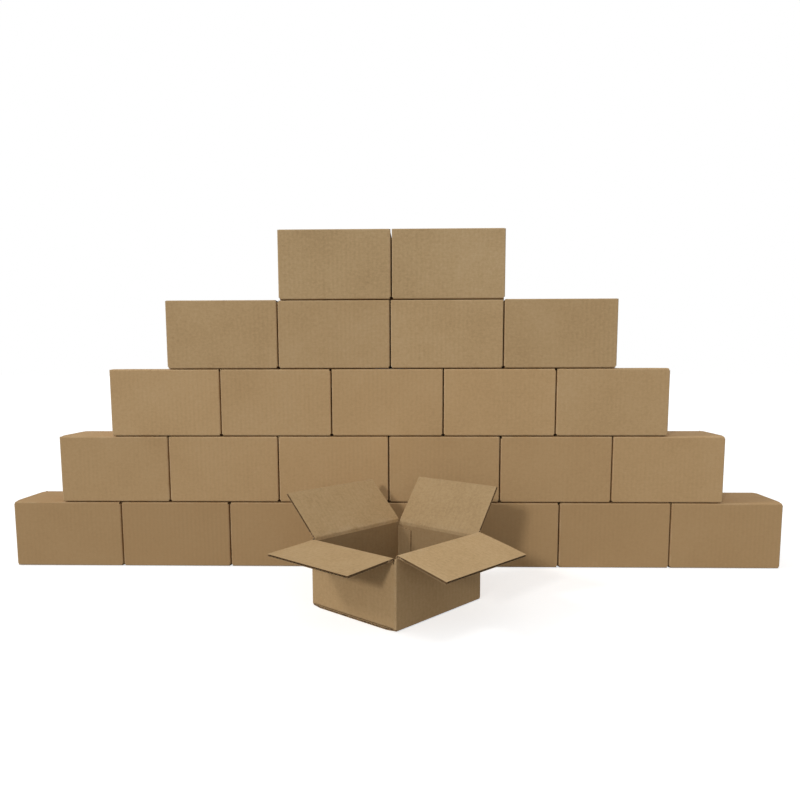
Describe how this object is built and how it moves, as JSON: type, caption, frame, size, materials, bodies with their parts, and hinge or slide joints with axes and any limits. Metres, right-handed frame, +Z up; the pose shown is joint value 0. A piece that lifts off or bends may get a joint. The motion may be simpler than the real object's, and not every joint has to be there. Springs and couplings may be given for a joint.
{
  "type": "stack of cardboard boxes",
  "caption": "Stepped wall of closed corrugated cartons in running bond with one open carton standing corner-on in front, its top flaps folded back on hinges.",
  "frame": {"origin": "middle of the whole set's bounding box, on the floor", "axes": "+X along the wall of cartons to the right, +Y from the open carton towards the wall's back, +Z up"},
  "size_m": [1.4896, 0.549, 0.6425],
  "materials": {
    "kraft_board": "matt brown kraft liner",
    "kraft_flap": "matt brown kraft liner with open flute ends"
  },
  "bodies": {
    "stack": {"carton_1_1": "kraft_board", "carton_1_2": "kraft_board", "carton_1_3": "kraft_board", "carton_1_4": "kraft_board", "carton_1_5": "kraft_board", "carton_1_6": "kraft_board", "carton_1_7": "kraft_board", "carton_2_1": "kraft_board", "carton_2_2": "kraft_board", "carton_2_3": "kraft_board", "carton_2_4": "kraft_board", "carton_2_5": "kraft_board", "carton_2_6": "kraft_board", "carton_3_1": "kraft_board", "carton_3_2": "kraft_board", "carton_3_3": "kraft_board", "carton_3_4": "kraft_board", "carton_3_5": "kraft_board", "carton_4_1": "kraft_board", "carton_4_2": "kraft_board", "carton_4_3": "kraft_board", "carton_4_4": "kraft_board", "carton_5_1": "kraft_board", "carton_5_2": "kraft_board", "open_carton": "kraft_board"},
    "carton_4_1_front_flap": {"carton_4_1_front_flap": "kraft_flap"},
    "carton_4_1_back_flap": {"carton_4_1_back_flap": "kraft_flap"},
    "carton_4_4_front_flap": {"carton_4_4_front_flap": "kraft_flap"},
    "carton_4_4_back_flap": {"carton_4_4_back_flap": "kraft_flap"},
    "carton_5_1_front_flap": {"carton_5_1_front_flap": "kraft_flap"},
    "carton_5_1_back_flap": {"carton_5_1_back_flap": "kraft_flap"},
    "carton_5_2_front_flap": {"carton_5_2_front_flap": "kraft_flap"},
    "carton_5_2_back_flap": {"carton_5_2_back_flap": "kraft_flap"},
    "open_flap_front_right": {"open_flap_front_right": "kraft_flap"},
    "open_flap_back_left": {"open_flap_back_left": "kraft_flap"},
    "open_flap_front_left": {"open_flap_front_left": "kraft_flap"},
    "open_flap_back_right": {"open_flap_back_right": "kraft_flap"}
  },
  "joints": [
    {"name": "carton_4_1_front_hinge", "type": "hinge", "parent": "stack", "child": "carton_4_1_front_flap", "pos_m": [-0.3245, 0.14645, 0.514], "axis": [1, 0, 0], "range_deg": [0, 250]},
    {"name": "carton_4_1_back_hinge", "type": "hinge", "parent": "stack", "child": "carton_4_1_back_flap", "pos_m": [-0.3245, 0.27445, 0.514], "axis": [-1, 0, 0], "range_deg": [0, 250]},
    {"name": "carton_4_4_front_hinge", "type": "hinge", "parent": "stack", "child": "carton_4_4_front_flap", "pos_m": [0.3145, 0.14645, 0.514], "axis": [1, 0, 0], "range_deg": [0, 250]},
    {"name": "carton_4_4_back_hinge", "type": "hinge", "parent": "stack", "child": "carton_4_4_back_flap", "pos_m": [0.3145, 0.27445, 0.514], "axis": [-1, 0, 0], "range_deg": [0, 250]},
    {"name": "carton_5_1_front_hinge", "type": "hinge", "parent": "stack", "child": "carton_5_1_front_flap", "pos_m": [-0.1091, 0.14645, 0.6425], "axis": [1, 0, 0], "range_deg": [0, 250]},
    {"name": "carton_5_1_back_hinge", "type": "hinge", "parent": "stack", "child": "carton_5_1_back_flap", "pos_m": [-0.1091, 0.27445, 0.6425], "axis": [-1, 0, 0], "range_deg": [0, 250]},
    {"name": "carton_5_2_front_hinge", "type": "hinge", "parent": "stack", "child": "carton_5_2_front_flap", "pos_m": [0.1039, 0.14645, 0.6425], "axis": [1, 0, 0], "range_deg": [0, 250]},
    {"name": "carton_5_2_back_hinge", "type": "hinge", "parent": "stack", "child": "carton_5_2_back_flap", "pos_m": [0.1039, 0.27445, 0.6425], "axis": [-1, 0, 0], "range_deg": [0, 250]},
    {"name": "open_front_right_hinge", "type": "hinge", "parent": "stack", "child": "open_flap_front_right", "pos_m": [0.0843, -0.12756, 0.112], "axis": [0.6521, 0.7581, 0], "range_deg": [-193, 57]},
    {"name": "open_back_left_hinge", "type": "hinge", "parent": "stack", "child": "open_flap_back_left", "pos_m": [-0.05672, -0.00627, 0.112], "axis": [-0.6521, -0.7581, 0], "range_deg": [-135, 115]},
    {"name": "open_front_left_hinge", "type": "hinge", "parent": "stack", "child": "open_flap_front_left", "pos_m": [-0.05501, -0.1469, 0.1077], "axis": [0.7581, -0.6521, 0], "range_deg": [-184, 66]},
    {"name": "open_back_right_hinge", "type": "hinge", "parent": "stack", "child": "open_flap_back_right", "pos_m": [0.08259, 0.01307, 0.1077], "axis": [-0.7581, 0.6521, 0], "range_deg": [-126, 124]}
  ]
}
